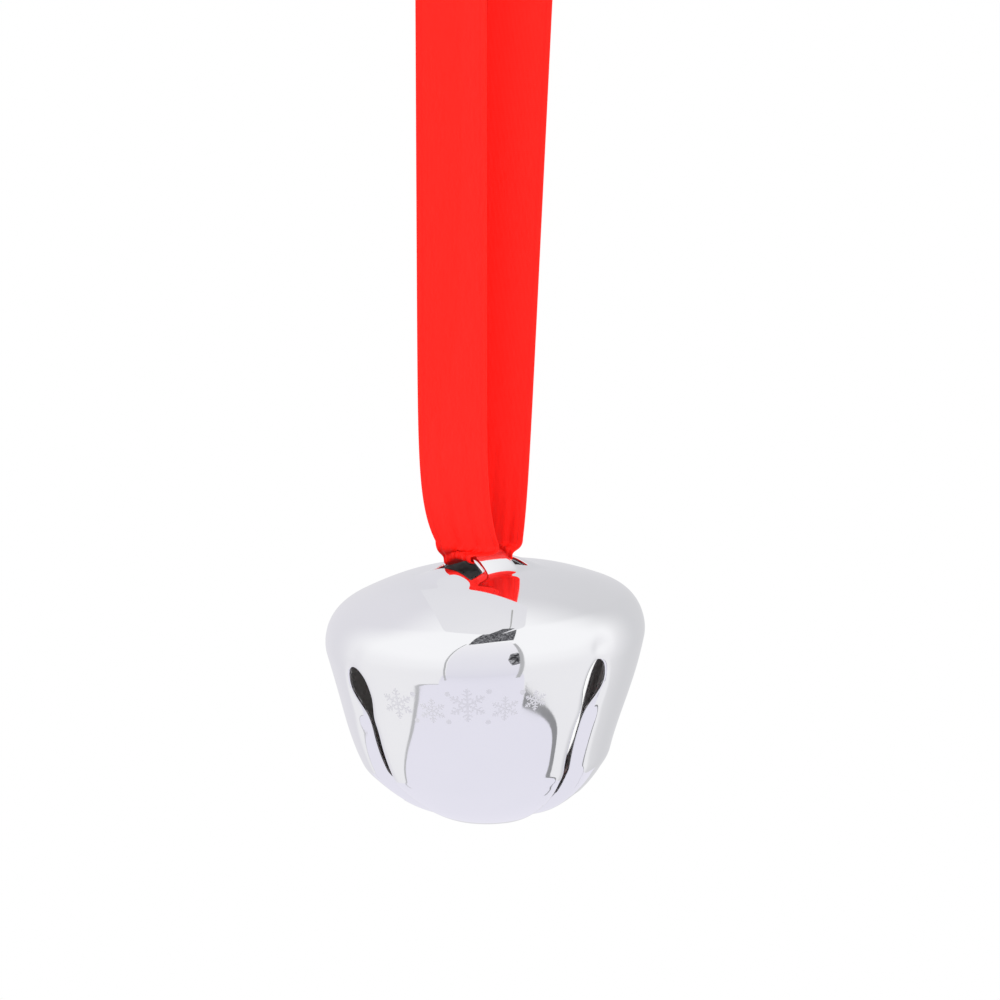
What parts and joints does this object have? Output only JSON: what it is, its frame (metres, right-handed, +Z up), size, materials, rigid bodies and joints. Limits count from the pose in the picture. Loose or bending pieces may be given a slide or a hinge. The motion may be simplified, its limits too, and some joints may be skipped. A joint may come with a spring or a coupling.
{
  "type": "christmas bell ornament",
  "caption": "Jingle bell ornament: a slotted, domed metal bell with a loose rattle ball inside, hung by the strap in its crown from a knotted satin ribbon loop.",
  "frame": {"origin": "hang point: the inside top of the ribbon loop, just under the knot", "axes": "+Z up along the hanging ribbon, +X across the ribbon where it hangs on its hook, -Y the front"},
  "size_m": [0.0599, 0.06, 0.2115],
  "materials": {
    "mirror_plating": "mirror-polished bright nickel plate, faint handling marks",
    "pellet_steel": "plain tumbled steel, slightly scuffed",
    "red_satin": "single-face polyester satin ribbon with woven edges"
  },
  "bodies": {
    "knot": {"ribbon_knot": "red_satin"},
    "ribbon": {"ribbon_loop": "red_satin"},
    "bell": {"bell_shell": "mirror_plating"},
    "pellet": {"pellet": "pellet_steel"}
  },
  "joints": [
    {"name": "ribbon_sway", "type": "hinge", "parent": "knot", "child": "ribbon", "pos_m": [0, 0, 0], "axis": [1, 0, 0], "range_deg": [-35, 35]},
    {"name": "bell_swing", "type": "hinge", "parent": "ribbon", "child": "bell", "pos_m": [-0.0014, 0, -0.13], "axis": [0.6417, -0.766, 0.0381], "range_deg": [-35, 35]},
    {"name": "pellet_roll", "type": "hinge", "parent": "bell", "child": "pellet", "pos_m": [-0.00001, 0, -0.15343], "axis": [0.9969, -0.0523, 0.0592], "range_deg": [-35, 35]}
  ]
}
